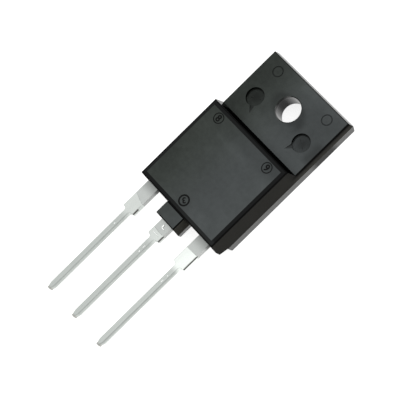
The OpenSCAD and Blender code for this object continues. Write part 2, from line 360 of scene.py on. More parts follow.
# Masks run from 0 at their first value to 1 at their second. These go by how level a face of the case is:
# 1 for a face that lies flat, and 0 for one that stands upright.
FLAT_LEVEL = (0.970, 0.985)
RING_LEVEL = (0.985, 0.995)
FLOOR_LEVEL = (0.90, 0.95)
UPRIGHT_LEVEL = (0.30, 0.22)
SLOPING_LEVEL = (0.22, 0.30)
BENT_LEVEL = (0.93, 0.80)
RIM_END_LEVEL = (0.964, 0.970)
BORE_LEVEL = (0.95, 0.9)

# Masks of the case by where a face looks, down or towards the end of the tab
LOOKS_DOWN = (-0.012, -0.022)
LOOKS_TO_TAB_END = (0.85, 0.95)

# Masks of the case by place along it, in mm of Y
BEFORE_BODY_END = (BODY_END_MM + 0.01, BODY_END_MM + 0.03)
ON_BOSS = (BODY_END_MM, BODY_END_MM - 0.1)
ON_TAB = (-7.0, -5.0)
AT_STEP = (-3.0, -4.0)
TOP_OF_BODY = (-9.5, -7.0)
LEAD_SIDE_RIM = (-19.0, -19.4)

# Masks of the case by place across it, in mm of X
STEP_LEFT_END = (-6.7, -6.2)
WITHIN_SIDES = (7.0, 6.8)
NEAR_STEP_SIDE = (-4.4, -1.5)
AGED_TO_MATT = (-7.0, 3.0)

# Masks of the case by height over its back, in mm of Z
BELOW_TAB_TOP = (TAB_TOP, TAB_TOP - 0.35)
ABOVE_BACK = (1.0, 1.2)
ON_BODY = (3.5, 4.0)

# Masks of the case by distance from the axis of the hole, in mm
HOLE_EDGE = (2.05, 1.95)
OFF_HOLE = (2.1, 2.3)

# Bands of the case in mm: low end, high end and softness, the first three and the last in Z, the rest in Y
RIM_END_BAND = (BODY_TOP - 0.25, BODY_TOP - 0.10, 0.012)
TAB_RING_BAND = (TAB_TOP - 0.085, TAB_TOP - 0.035, 0.01)
BODY_RING_BAND = (BODY_TOP - 0.085, BODY_TOP - 0.035, 0.01)
DIMPLE_BAND = (-5.0, 3.5, 0.1)
DULL_BAND = (-3.0, 1.1, 0.8)
UNDER_EDGE_BAND = (2.58, TAB_TOP, 0.16)

# Tones across the case, painted shade and light: darker to the left, paler to the right of the body, darker
# to the right on the body's top end by the step, and paler to the right on the rim near the leads. Two
# places in mm of X, and the tone at each
PAINTED_LEFT_SHADE = ((-8.0, 1.0), (0.61, 1.0))
TAB_PAINTED_LEFT_SHADE = ((-7.5, -1.0), (0.80, 1.0))
BODY_PAINTED_RIGHT_LIGHT = ((0.0, 8.0), (0.0, 0.26))
TOP_PAINTED_SHADE = ((3.5, 5.8), (0.86, 0.66))
RIM_PAINTED_LIGHT = ((-4.0, 4.0), (0.0, 2.2))

# Tones along the case, in mm of Y: painted light on the tab near the step. The floors of the rings have
# their own tone, painted shade of the grooves, at the first place and gain at the second.
NEAR_STEP_PAINTED_LIGHT = ((-1.5, -5.2), (0.0, 0.32))
RING_PAINTED_SHADE_PLACES = (-12.0, 2.0)
RING_PAINTED_SHADE_FADE = 0.45

# Painted shade and reflection up the walls of the tab, in mm of Z: nearly black at the top and paler lower
# down, where the wall mirrors the floor. Painted light on the walls of the boss, and the tone of the dull
# part of the strip
TAB_WALL_SHADE_AND_REFLECTION = ((2.85, 1.8), (0.1, 1.9))
BOSS_WALL_PAINTED_LIGHT = 2.5
DULL_STRIP_TONE = 0.33

# Painted shade round the hole by distance from its axis in mm, with X and Y multiplied to make the shade an
# oval
HOLE_PAINTED_SHADE = ((1.8, 2.8), (0.64, 1.0))
HOLE_PAINTED_SHADE_OVAL = (0.75, 1.35)

# How much the noises change the tone of the front, and the roughness
CLOUD_SWING = 2.4
SPECK_SWING = 0.6
SMEAR_SWING = 0.9
MOTTLE_SWING = 1.5
SMEAR_ROUGHNESS = 0.12

# Dimples: tone of the floor by distance from its middle, and the crescent of painted shade where the wall
# shades it, by distance from the middle, by direction in X and Y, and by how far it is that way, in mm
DIMPLE_FLOOR = ((0.2, 1.3), (0.80, 1.32))
CRESCENT_RADIUS = (1.07, 1.23)
CRESCENT_DIRECTION = (-0.75, 0.66)
CRESCENT_SIDE = (0.07, 0.55)
CRESCENT_TONE = 0.2

# Roughness of the case
RIM_ROUGHNESS = 0.30
WALL_ROUGHNESS = 0.80
STRIP_ROUGHNESS = 0.22
POLISH_ROUGHNESS = 0.14
FRONT_ROUGHNESS = 0.72

# How strongly the case mirrors: in general, and in the strip below the parting line
EPOXY_IOR = 1.5
PLAIN_MIRROR = 0.10
STRIP_MIRROR = 0.42
DULL_STRIP_MIRROR = 0.07

# How strongly the wall of the hole mirrors, in mm of Y to either side of its axis and in mm of Z
BORE_MIRROR_ALONG = ((0.4, 1.9), (0.08, 0.85))
BORE_MIRROR_UP = ((2.1, 2.8), (0.75, 1.35))

# How dull the rounded edges are by distance from the axis of the hole, and the wall below the tab's edge
EDGE_DULLNESS = ((1.95, 2.05), (0.0, 0.7))
UNDER_EDGE_DULLNESS = 0.85

# Share of the grain that the smooth areas of the case have
SMOOTH_GRAIN = 0.15

# Soft paler and darker patches of the front: left, right, low and high side in mm, softness in mm and
# change of tone
FRONT_PATCHES = (
    (-3.6, 2.6, -9.5, -8.4, 0.6, 0.16),
    (6.6, 8.0, -3.4, -0.4, 0.5, -0.28),
    (-1.0, 8.0, 3.2, 6.0, 0.5, 0.15),
    (1.5, 5.0, -20.0, -17.8, 0.7, 0.13),
    (2.6, 3.4, -1.6, 0.0, 0.5, -0.24),
)


# Epoxy of the case

def case_areas(tree):
    """Places on the case and masks of its areas, each 1 on its own faces and 0 elsewhere."""
    where, x, y, z = place(tree)
    _, ny, nz = facing(tree)
    level = absolute(tree, nz)
    from_axis = distance(tree, x, y)
    rim_end = times(tree, band(tree, z, *RIM_END_BAND), mask(tree, y, BEFORE_BODY_END))
    front = times(tree, mask(tree, level, FLAT_LEVEL), minus(tree, 1.0, rim_end))
    upright = mask(tree, level, UPRIGHT_LEVEL)
    bend = times(tree, mask(tree, level, BENT_LEVEL), mask(tree, level, SLOPING_LEVEL))
    rounded = largest(tree, bend, times(tree, rim_end, mask(tree, level, RIM_END_LEVEL)))
    strip = times(tree, upright, mask(tree, nz, LOOKS_DOWN))
    bore = times(tree, mask(tree, level, BORE_LEVEL), mask(tree, from_axis, HOLE_EDGE))
    tab_side = times(tree, upright, mask(tree, ny, LOOKS_TO_TAB_END))
    step_wall = times(tree, tab_side, mask(tree, y, AT_STEP), mask(tree, x, STEP_LEFT_END))
    in_dimple = times(tree, upright, mask(tree, from_axis, OFF_HOLE),
                      mask(tree, absolute(tree, x), WITHIN_SIDES), band(tree, y, *DIMPLE_BAND))
    deep = times(tree, mask(tree, z, BELOW_TAB_TOP), mask(tree, level, FLOOR_LEVEL),
                 mask(tree, z, ABOVE_BACK))
    ring_height = math_node(tree, "ADD", band(tree, z, *TAB_RING_BAND), band(tree, z, *BODY_RING_BAND),
                            clamp=True)
    ring = times(tree, ring_height, mask(tree, level, RING_LEVEL))
    return SimpleNamespace(where=where, x=x, y=y, z=z, from_axis=from_axis, front=front, upright=upright,
                           rounded=rounded, strip=strip, bore=bore, tab_side=tab_side,
                           step_wall=step_wall, in_dimple=in_dimple, deep=deep, ring=ring,
                           on_tab=mask(tree, y, ON_TAB), dull_length=band(tree, y, *DULL_BAND))


def dimple_tone(tree, area, finish):
    """Tone of a dimple's floor: paler towards its wall, and painted shade where the wall shades it."""
    off_x = minus(tree, absolute(tree, area.x), DIMPLE_X)
    off_y = minus(tree, area.y, DIMPLE_Y)
    off_middle = distance(tree, off_x, off_y)
    floor = times(tree, ramp(tree, off_middle, *DIMPLE_FLOOR), finish.dimple)
    off_side = times(tree, off_x, math_node(tree, "SIGN", area.x))
    toward_x, toward_y = CRESCENT_DIRECTION
    toward = plus(tree, times(tree, off_y, toward_y), times(tree, off_side, toward_x))
    crescent = times(tree, mask(tree, off_middle, CRESCENT_RADIUS), mask(tree, toward, CRESCENT_SIDE))
    return times(tree, floor, blended(tree, crescent, 1.0, CRESCENT_TONE))


def front_tone(tree, area, smear, finish):
    """Tone of the front: its painted shade and light from side to side, near the step, round the hole and
    on the body's top end, its clouding, patches and marks, and the painted shade in the dimples and on the
    ring floors.
    """
    x, y = area.x, area.y
    on_body = mask(tree, area.z, ON_BODY)
    # Painted shade to the left of the front and painted light to the right of the body
    painted_left_shade = ramp(tree, x, *PAINTED_LEFT_SHADE)
    # Painted light on the tab near the foot of the step, where the step shades it
    near_step_painted_light = times(tree, ramp(tree, y, *NEAR_STEP_PAINTED_LIGHT), mask(tree, x, NEAR_STEP_SIDE))
    tab_tone = plus(tree, times(tree, painted_left_shade, ramp(tree, x, *TAB_PAINTED_LEFT_SHADE)), near_step_painted_light)
    body_tone = plus(tree, painted_left_shade, ramp(tree, x, *BODY_PAINTED_RIGHT_LIGHT))
    across = blended(tree, on_body, tab_tone, body_tone)
    cloud, speck, mottle = (noise_node(tree, area.where, *kind) for kind in (CLOUD, SPECK, MOTTLE))
    clouding = plus(tree, swing(tree, cloud, CLOUD_SWING), swing(tree, speck, SPECK_SWING),
                    swing(tree, smear, SMEAR_SWING), swing(tree, mottle, MOTTLE_SWING))
    tone = plus(tree, across, times(tree, clouding, finish.cloud))
    # Painted shade round the hole, in an oval
    oval_x, oval_y = HOLE_PAINTED_SHADE_OVAL
    by_hole = distance(tree, times(tree, x, oval_x), times(tree, y, oval_y))
    tone = times(tree, tone, ramp(tree, by_hole, *HOLE_PAINTED_SHADE))
    # Painted shade towards the right on the body's top end, by the step
    top_of_body = times(tree, on_body, mask(tree, y, TOP_OF_BODY))
    tone = times(tree, tone, blended(tree, top_of_body, 1.0, ramp(tree, x, *TOP_PAINTED_SHADE)))
    for left, right, low, high, soft, change in FRONT_PATCHES:
        patch = times(tree, band(tree, x, left, right, soft), band(tree, y, low, high, soft))
        tone = times(tree, tone, plus(tree, times(tree, patch, change), 1.0))
    tone = times(tree, tone, blended(tree, area.deep, 1.0, dimple_tone(tree, area, finish)))
    # Painted shade on the floors of the rings, lighter towards the tab
    ring_painted_shade = ramp(tree, y, RING_PAINTED_SHADE_PLACES, (finish.ring, finish.ring + RING_PAINTED_SHADE_FADE))
    return times(tree, tone, blended(tree, area.ring, 1.0, ring_painted_shade))


def case_colour(tree, area, smear, finish):
    """Colour of every area of the case, the front last, with painted shade and reflection on the tab's
    walls and painted light on the boss's walls and on the rim near the leads.
    """
    # Painted shade and reflection on the tab's walls, painted light on the boss's walls
    wall_shade_and_light = blended(tree, area.on_tab, 1.0, ramp(tree, area.z, *TAB_WALL_SHADE_AND_REFLECTION))
    wall_shade_and_light = blended(tree, mask(tree, area.y, ON_BOSS), wall_shade_and_light, BOSS_WALL_PAINTED_LIGHT)
    # Painted light on the rim near the leads, stronger to the right
    painted_light_at_leads = times(tree, ramp(tree, area.x, *RIM_PAINTED_LIGHT), mask(tree, area.y, LEAD_SIDE_RIM))
    rim = scaled(tree, finish.rim, plus(tree, painted_light_at_leads, 1.0))
    under = scaled(tree, finish.under, blended(tree, area.dull_length, 1.0, DULL_STRIP_TONE))
    front = painted(tree, mask(tree, area.x, AGED_TO_MATT), finish.aged, finish.matt)
    front = scaled(tree, front, front_tone(tree, area, smear, finish))
    base = painted(tree, area.upright, rim, scaled(tree, finish.wall, wall_shade_and_light))
    layers = ((area.rounded, finish.edge), (area.strip, under), (area.tab_side, finish.gloss),
              (area.in_dimple, finish.gloss), (area.bore, finish.bore), (area.front, front))
    for spot, tint in layers:
        base = painted(tree, spot, base, tint)
    return base


def case_roughness(tree, area, smear):
    """Roughness of every area of the case, the front last."""
    polished = largest(tree, area.bore, area.tab_side)
    rough = blended(tree, area.upright, RIM_ROUGHNESS, WALL_ROUGHNESS)
    rough = blended(tree, area.strip, rough, STRIP_ROUGHNESS)
    rough = blended(tree, polished, rough, POLISH_ROUGHNESS)
    rough = blended(tree, area.front, rough, FRONT_ROUGHNESS)
    return math_node(tree, "ADD", rough, swing(tree, smear, SMEAR_ROUGHNESS), clamp=True)


def case_mirror(tree, area):
    """How strongly each area of the case mirrors what is round it."""
    dull_edge = times(tree, area.rounded, ramp(tree, area.from_axis, *EDGE_DULLNESS))
    under_edge = times(tree, area.upright, area.on_tab, band(tree, area.z, *UNDER_EDGE_BAND))
    dull = largest(tree, area.step_wall, area.in_dimple, dull_edge,
                   times(tree, under_edge, UNDER_EDGE_DULLNESS))
    in_strip = blended(tree, area.dull_length, STRIP_MIRROR, DULL_STRIP_MIRROR)
    in_bore = times(tree, ramp(tree, absolute(tree, area.y), *BORE_MIRROR_ALONG),
                    ramp(tree, area.z, *BORE_MIRROR_UP))
    mirror = blended(tree, area.strip, PLAIN_MIRROR, in_strip)
    mirror = blended(tree, area.bore, mirror, in_bore)
    return blended(tree, dull, mirror, 0.0)


def moulded_epoxy(finish):
    """Matt front, dark rim, drafted walls, polished step wall, tab end and hole, paler walls low down."""
    material, tree, shader = new_material("moulded_epoxy")
    area = case_areas(tree)
    smear = noise_node(tree, area.where, *SMEAR)
    set_shader(tree, shader, {"Base Color": case_colour(tree, area, smear, finish),
                              "Roughness": case_roughness(tree, area, smear),
                              "Specular IOR Level": case_mirror(tree, area),
                              "IOR": EPOXY_IOR})
    grain = noise_node(tree, area.where, *EPOXY_GRAIN)
    height = times(tree, grain, blended(tree, area.front, SMOOTH_GRAIN, 1.0))
    bump(tree, shader, height, finish.grain)
    return material


# Bare plating: masks by where a face looks and by place along it in mm, and its tones, painted shade that
# darkens the top and the sides towards the case
PLATE_SIDE = (0.7, 0.9)
LOOKS_TO_TIP = (-0.7, -0.9)
TIP_PLACE = beyond(LEAD_TIP, (0.3, 0.1))
INSIDE_CASE = beyond(BODY_END_MM, (0.2, 0.3))
PLATE_PAINTED_SHADE = (beyond(BODY_END_MM, (-1.7, 0.1)), (1.03, 0.62))
PLATE_SIDE_PAINTED_SHADE = (beyond(BODY_END_MM, (-1.0, -0.1)), (1.0, 0.2))
PLATE_ROUGHNESS = 0.42
PLATE_SWING = 0.2
PLATE_BUMP = 0.01 * MM

# Solder: masks by where a face looks, or by place in mm. Those along a lead run from its shoulder, and
# those up it from the top of the bare lead, of its coat or of the crown of the coat.
THIN_FADE = (0.0, -1.3)
LOOKS_LEFT = (-0.25, -0.6)
LOOKS_RIGHT = (0.1, 0.55)
SOLDER_SIDE = (0.55, 0.8)
MIDDLE_SHADE_WIDTH = (0.22, 0.05)
RIGHT_SIDE_HEIGHT = (-0.85, -0.2)
# Painted shade line high on the sides of the wide part
SHADE_LINE_HEIGHT = (-0.42, -0.34)
SHADE_LINE_START = (0.0, 0.1)
SHADE_LINE_ACROSS = (-5.0, -1.0)
SHADE_LINE_REACH = (1.0, 3.0)
# Painted highlights: the tops of the beads over the crown, and the high middle of the collector's wide part
# and its beads beyond the shoulder
BEAD_HIGHLIGHT_TOP = (0.015, 0.03)
SPLASH_PLACE = (1.4, 1.5)
SPLASH_SIDE = (1.0, 0.9)
SPLASH_TOP = (0.004, 0.014)

# Solder: tones, roughness and relief. The tones are painted light towards the right of the row of leads,
# and painted shade on the left edges, the middle and the right sides of the thin parts
WIDE_PAINTED_LIGHT = ((-1.0, 7.0), (0.92, 1.34))
THIN_PAINTED_LIGHT = ((2.0, 6.0), (1.0, 1.08))
LEFT_EDGE_PAINTED_SHADE = 0.35
MIDDLE_PAINTED_SHADE = 0.05
RIGHT_SIDE_PAINTED_SHADE = ((2.0, 5.0), (0.14, 0.30))
WORN_TIP = (beyond(LEAD_TIP, (0.45, 0.1)), (0.0, 0.35))
SOLDER_ROUGHNESS = 0.26
SOLDER_TONE_SWING = 0.14
SOLDER_ROUGH_SWING = 0.2
RIPPLE_BUMP = 0.04 * MM
RIPPLE_STRENGTH = 0.7


def tin_plate(finish):
    """Bare plating next to the case, darkened towards the case by painted shade, bare metal at the cut
    tips, and copper where the metal runs inside.
    """
    material, tree, shader = new_material("tin_plate")
    where, _, y, _ = place(tree)
    nx, ny, _ = facing(tree)
    grain = noise_node(tree, where, *PLATE_GRAIN)
    aside = mask(tree, absolute(tree, nx), PLATE_SIDE)
    tip = times(tree, mask(tree, ny, LOOKS_TO_TIP), mask(tree, y, TIP_PLACE))
    # Painted shade darkening the plating and its sides towards the case
    base = scaled(tree, finish.plate, ramp(tree, y, *PLATE_PAINTED_SHADE))
    base = painted(tree, aside, base, scaled(tree, finish.side, ramp(tree, y, *PLATE_SIDE_PAINTED_SHADE)))
    base = painted(tree, tip, base, finish.cut_end)
    base = painted(tree, mask(tree, y, INSIDE_CASE), base, finish.copper)
    base = scaled(tree, base, plus(tree, 1.0, swing(tree, grain, PLATE_SWING)))
    rough = plus(tree, PLATE_ROUGHNESS, swing(tree, grain, PLATE_SWING))
    set_shader(tree, shader, {"Base Color": base, "Metallic": 1.0, "Roughness": rough})
    bump(tree, shader, grain, PLATE_BUMP)
    return material


def solder_areas(tree, shape):
    """Places on the solder and masks of its thin part, of the painted shade on its left edges, middle and
    right sides, of the painted shade line and of the painted highlights on the beads.
    """
    where, x, y, z = place(tree)
    nx, _, _ = facing(tree)
    shoulder = (LEAD_LOW.y + shape.thin_length) / MM
    coat_top = (LEAD_HIGH.z + shape.coat) / MM
    crown_top = (LEAD_HIGH.z + shape.coat + shape.crown) / MM
    sideways = absolute(tree, x)
    off_lead = math_node(tree, "MINIMUM", sideways, absolute(tree, minus(tree, sideways, PITCH / MM)))
    thin = mask(tree, y, beyond(shoulder, THIN_FADE))
    right = times(tree, thin, mask(tree, nx, LOOKS_RIGHT),
                  mask(tree, z, beyond(LEAD_TOP, RIGHT_SIDE_HEIGHT)))
    # Painted shade line high on the sides of the wide part, from the shoulder on
    shade_line_end = ramp(tree, x, SHADE_LINE_ACROSS, beyond(shoulder, SHADE_LINE_REACH))
    shade_line_length = times(tree, mask(tree, y, beyond(shoulder, SHADE_LINE_START)),
                          math_node(tree, "LESS_THAN", y, shade_line_end))
    painted_shade_line = times(tree, mask(tree, absolute(tree, nx), SOLDER_SIDE),
                   mask(tree, z, beyond(LEAD_TOP, SHADE_LINE_HEIGHT)), shade_line_length)
    # Painted highlight on the high middle of the collector's wide part and on its beads
    splash_highlight = times(tree, mask(tree, y, beyond(shoulder, SPLASH_PLACE)),
                   mask(tree, sideways, SPLASH_SIDE), mask(tree, z, beyond(coat_top, SPLASH_TOP)))
    return SimpleNamespace(where=where, x=x, y=y, thin=thin, right=right, painted_shade_line=painted_shade_line,
                           edge=times(tree, thin, mask(tree, nx, LOOKS_LEFT)),
                           middle_shade=times(tree, thin, mask(tree, off_lead, MIDDLE_SHADE_WIDTH)),
                           bead_highlight=largest(tree, mask(tree, z, beyond(crown_top, BEAD_HIGHLIGHT_TOP)), splash_highlight))


def dipped_solder(finish, shape):
    """Bright solder, duller on the thin part, with painted light towards the right of the row, painted
    shade on the thin part, a painted shade line high on the sides of the wide part and painted highlights
    on the beads.
    """
    material, tree, shader = new_material("dipped_solder")
    area = solder_areas(tree, shape)
    wave = noise_node(tree, area.where, *SOLDER_WAVE)
    ripple = noise_node(tree, area.where, *SOLDER_RIPPLE)
    # Painted light towards the right of the row of leads, on the wide and the thin part
    base = scaled(tree, finish.dipped, ramp(tree, area.x, *WIDE_PAINTED_LIGHT))
    base = painted(tree, area.thin, base, scaled(tree, finish.thin, ramp(tree, area.x, *THIN_PAINTED_LIGHT)))
    # Painted shade of the left edges, the middle and the right sides of the thin part
    shade = minus(tree, 1.0, times(tree, area.edge, LEFT_EDGE_PAINTED_SHADE),
                  times(tree, area.middle_shade, MIDDLE_PAINTED_SHADE),
                  times(tree, area.right, ramp(tree, area.x, *RIGHT_SIDE_PAINTED_SHADE)))
    base = scaled(tree, base, shade)
    # Painted shade line high on the sides of the wide part
    base = painted(tree, area.painted_shade_line, base, finish.painted_shade_line)
    # Painted highlights on the beads
    base = painted(tree, area.bead_highlight, base, finish.bead_highlight)
    base = painted(tree, ramp(tree, area.y, *WORN_TIP), base, finish.cut_end)
    base = scaled(tree, base, plus(tree, 1.0, swing(tree, wave, SOLDER_TONE_SWING)))
    rough = plus(tree, SOLDER_ROUGHNESS, swing(tree, wave, SOLDER_ROUGH_SWING))
    set_shader(tree, shader, {"Base Color": base, "Metallic": 1.0, "Roughness": rough})
    bump(tree, shader, ripple, RIPPLE_BUMP, RIPPLE_STRENGTH)
    return material


# Digits: how much paler their palest specks are, and their gloss and relief
DIGIT_SPECK = 2.2
DIGIT_ROUGHNESS = 0.5
DIGIT_MIRROR = 0.08
DIGIT_BUMP = 0.003 * MM

# Metals of the sealed pieces: material, its pieces, colour, roughness and scale of the grain
SEALED_METALS = (
    ("metallised_silicon", ("silicon_die",), (0.34, 0.38, 0.42), 0.2, 2.0),
    ("die_solder_alloy", ("die_solder",), (0.52, 0.53, 0.52), 0.4, 5.0),
    ("aluminium_wire", ("base_wire", "emitter_wire_a", "emitter_wire_b"), (0.80, 0.81, 0.82), 0.25, 12.0),
)
SEALED_DETAIL = (3.0, 0.6)
SEALED_TONES = (0.85, 1.12)
SEALED_ROUGH_GAIN = 0.1
SEALED_BUMP = 0.004 * MM


def toned(tint, factor):
    """A fixed colour times a number, held at white."""
    return tuple(min(1.0, part * factor) for part in tint)


def digit_paint(shape):
    """Dull black of the raised digits."""
    material, tree, shader = new_material("cavity_digit")
    grain = noise_node(tree, place(tree)[0], *DIGIT_GRAIN)
    base = painted(tree, grain, shape.ink, toned(shape.ink, DIGIT_SPECK))
    set_shader(tree, shader, {"Base Color": base, "Roughness": DIGIT_ROUGHNESS,
                              "Specular IOR Level": DIGIT_MIRROR})
    bump(tree, shader, grain, DIGIT_BUMP)
    return material


def sealed_metal(name, tint, roughness, scale):
    """A faintly grained metal for a piece inside the case."""
    material, tree, shader = new_material(name)
    grain = noise_node(tree, place(tree)[0], scale, *SEALED_DETAIL)
    dark, light = (toned(tint, factor) for factor in SEALED_TONES)
    rough = plus(tree, roughness, times(tree, grain, SEALED_ROUGH_GAIN))
    set_shader(tree, shader, {"Base Color": painted(tree, grain, dark, light), "Metallic": 1.0,
                              "Roughness": rough})
    bump(tree, shader, grain, SEALED_BUMP)
    return material


# Solder of each lead: name, place across in pitches, dip line at the left and right edge of the lead in
# mm, and its beads as place across, place from the shoulder, half width and half length in mm
SOLDER_SLEEVES = (
    ("base_solder", -1, -22.32, -22.92,
     ((0.08, -2.55, 0.08, 0.13),)),
    ("collector_solder", 0, -23.65, -23.74,
     ((0.12, -2.58, 0.09, 0.14), (0.13, -1.7, 0.06, 0.32), (-0.10, 0.62, 0.62, 0.06),
      (-0.06, 2.05, 0.11, 0.30), (0.20, 1.78, 0.28, 0.10))),
    ("emitter_solder", 1, -22.27, -22.19,
     ((0.08, -2.0, 0.07, 0.12), (0.06, -3.0, 0.07, 0.30))),
)

# Shaping of the solder in metres. Two points nearer than NEAR count as one.
NEAR = 1e-7
BARE_TIP = 0.03 * MM
ROW_SPACING = 0.3 * MM

# Shaping of the solder in mm: cuts from the middle of a lead, start of the waves, half height of a bead
CUTS_ACROSS = (-0.7, -0.18, 0.0, 0.18, 0.7)
WAVE_START = 0.2
BEAD_HEIGHT = 0.05

# Share of a row before the first cut, and how the waves are drawn out along a lead
FIRST_ROW = 0.7
WAVE_STRETCH = 0.8

FILLET_SEGMENTS, CORNER_SEGMENTS, EDGE_SEGMENTS = 5, 4, 3
BEAD_SUBDIVISIONS = 3

# Digits: font size for a figure of height 1, fineness of the curves, and bevel of the edges
FIGURE_SIZE = 1.38
FIGURE_RESOLUTION = 4
FIGURE_BEVEL = 0.012 * MM

# Ejector rings of the body, in metres: one on each side of its middle, and the low one near the leads
RING_X, RING_Y = 5.1 * MM, -7.45 * MM
LOW_RING_Y = BODY_END + 1.8 * MM


# Solder and digits

def add_piece(name, data, material):
    """Adds a finished mesh to the scene as a piece of the part."""
    piece = bpy.data.objects.new(name, data)
    bpy.context.scene.collection.objects.link(piece)
    piece.data.materials.append(material)
    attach(piece, "root")


def grown_outline(mesh, shape, dip_left, dip_right):
    """Front view of the dipped part, grown by the coat, from the dip line over the shoulder to the nib."""
    tip = LEAD_LOW.y
    shoulder = tip + shape.thin_length - shape.coat
    wide, thin, nib = (width / 2 + shape.coat for width in (shape.wide, shape.thin, shape.nib))
    half = [(wide, shoulder), (thin, shoulder), (thin, tip + shape.nib_length + shape.taper),
            (nib, tip + shape.nib_length), (nib, tip + BARE_TIP)]
    right = [(wide, dip_right)] + half
    left = [(-x, y) for x, y in [(wide, dip_left)] + half]
    corners = [mesh.verts.new((x, y, 0.0)) for x, y in right + left[::-1]]
    mesh.faces.new(corners)
    at_shoulder = [corner for corner in corners if abs(corner.co.y - shoulder) < NEAR]
    inner = [corner for corner in at_shoulder if abs(abs(corner.co.x) - thin) < NEAR]
    outer = [corner for corner in at_shoulder if abs(abs(corner.co.x) - wide) < NEAR]
    for picked, radius, segments in ((inner, shape.fillet, FILLET_SEGMENTS),
                                     (outer, shape.corner, CORNER_SEGMENTS)):
        bmesh.ops.bevel(mesh, geom=picked, offset=radius, offset_type="OFFSET", segments=segments,
                        profile=0.5, affect="VERTICES", material=-1)


def thicken(mesh, half_thick):
    """Makes a solid of the flat outline, half of it on each side."""
    made = bmesh.ops.extrude_face_region(mesh, geom=mesh.faces[:])
    top = [part for part in made["geom"] if isinstance(part, bmesh.types.BMVert)]
    bmesh.ops.translate(mesh, verts=mesh.verts, vec=(0.0, 0.0, -half_thick))
    bmesh.ops.translate(mesh, verts=top, vec=(0.0, 0.0, 2 * half_thick))
    bmesh.ops.recalc_face_normals(mesh, faces=mesh.faces)


def round_edges(mesh, radius):
    """Rounds every edge that lies level, front and back."""
    rims = [edge for edge in mesh.edges if abs(edge.verts[0].co.z - edge.verts[1].co.z) < NEAR]
    bmesh.ops.bevel(mesh, geom=rims, offset=radius, offset_type="OFFSET", segments=EDGE_SEGMENTS,
                    profile=0.5, affect="EDGES", material=-1, clamp_overlap=True)


def cut_rows(mesh, dip_left):
    """Cuts the sleeve along and across, so that waves can shape it."""
    rows = int((dip_left - LEAD_LOW.y) / ROW_SPACING)
    cuts = [((x * MM, 0.0, 0.0), (1.0, 0.0, 0.0)) for x in CUTS_ACROSS]
    cuts += [((0.0, LEAD_LOW.y + ROW_SPACING * (row + FIRST_ROW), 0.0), (0.0, 1.0, 0.0))
             for row in range(rows)]
    for point, normal in cuts:
        bmesh.ops.bisect_plane(mesh, geom=mesh.verts[:] + mesh.edges[:] + mesh.faces[:], dist=NEAR,
                               plane_co=point, plane_no=normal)


def raise_waves(mesh, centre_x, dip_left, dip_right, shape):
    """Crowns the solder along the middle of the lead and adds its waves."""
    shoulder = LEAD_LOW.y + shape.thin_length
    wave_end = min(dip_left, dip_right) - WAVE_START * MM
    offset = Vector((shape.seed, centre_x, 0.0))
    for vert in mesh.verts:
        x, y, z = vert.co
        swell = noise.noise(Vector((x, y * WAVE_STRETCH, z)) / MM + offset)
        half = (shape.wide if y > shoulder else shape.thin) / 2
        across = max(0.0, 1.0 - (x / half) ** 2)
        along = min(1.0, max(0.0, (dip_left - y) / MM - WAVE_START))
        rise = shape.crown * (across * along) + swell * shape.wave * (y < wave_end)
        vert.co.z += rise * (1 if z > 0 else -1)


def add_beads(mesh, beads, dip_right, half_thick, shape):
    """Adds low drops on the front of the sleeve."""
    shoulder = LEAD_LOW.y + shape.thin_length
    for x, from_shoulder, across, along in beads:
        y = shoulder + from_shoulder * MM
        drop = bmesh.ops.create_icosphere(mesh, subdivisions=BEAD_SUBDIVISIONS, radius=MM)["verts"]
        on_coat = 0.0 if y > dip_right else shape.crown
        bmesh.ops.scale(mesh, verts=drop, vec=(across, along, BEAD_HEIGHT))
        bmesh.ops.translate(mesh, verts=drop, vec=(x * MM, y, half_thick + on_coat))


def solder_sleeve(name, centre_x, dip_left, dip_right, beads, shape, material):
    """Solder round the dipped part of a lead, with small beads where it ran together."""
    half_thick = (LEAD_HIGH.z - LEAD_LOW.z) / 2 + shape.coat
    middle = (LEAD_HIGH.z + LEAD_LOW.z) / 2
    mesh = bmesh.new()
    grown_outline(mesh, shape, dip_left, dip_right)
    thicken(mesh, half_thick)
    round_edges(mesh, shape.round)
    cut_rows(mesh, dip_left)
    raise_waves(mesh, centre_x, dip_left, dip_right, shape)
    add_beads(mesh, beads, dip_right, half_thick, shape)
    bmesh.ops.translate(mesh, verts=mesh.verts, vec=(centre_x, 0.0, middle))
    for face in mesh.faces:
        face.smooth = True
    data = bpy.data.meshes.new(name)
    mesh.to_mesh(data)
    mesh.free()
    add_piece(name, data, material)


def digit(name, text, x, y, height, turn, shape, material):
    """A raised digit in an ejector ring on the front of the body."""
    curve = bpy.data.curves.new(name, "FONT")
    curve.body = text
    curve.size = height * FIGURE_SIZE
    curve.extrude = shape.relief
    curve.offset = shape.stroke
    curve.resolution_u = FIGURE_RESOLUTION
    curve.bevel_depth = FIGURE_BEVEL
    flat = bpy.data.objects.new(name + "_text", curve)
    bpy.context.scene.collection.objects.link(flat)
    bpy.context.view_layer.update()
    data = bpy.data.meshes.new_from_object(flat)
    bpy.data.objects.remove(flat)
    bpy.data.curves.remove(curve)
    low_x, low_y = (min(vert.co[axis] for vert in data.vertices) for axis in range(2))
    high_x, high_y = (max(vert.co[axis] for vert in data.vertices) for axis in range(2))
    data.transform(Matrix.Translation((-(low_x + high_x) / 2, -(low_y + high_y) / 2, 0.0)))
    data.transform(Matrix.Translation((x, y, CASE_HIGH.z)) @ Matrix.Rotation(turn, 4, "Z"))
    data.name = name
    data.materials.clear()
    add_piece(name, data, material)


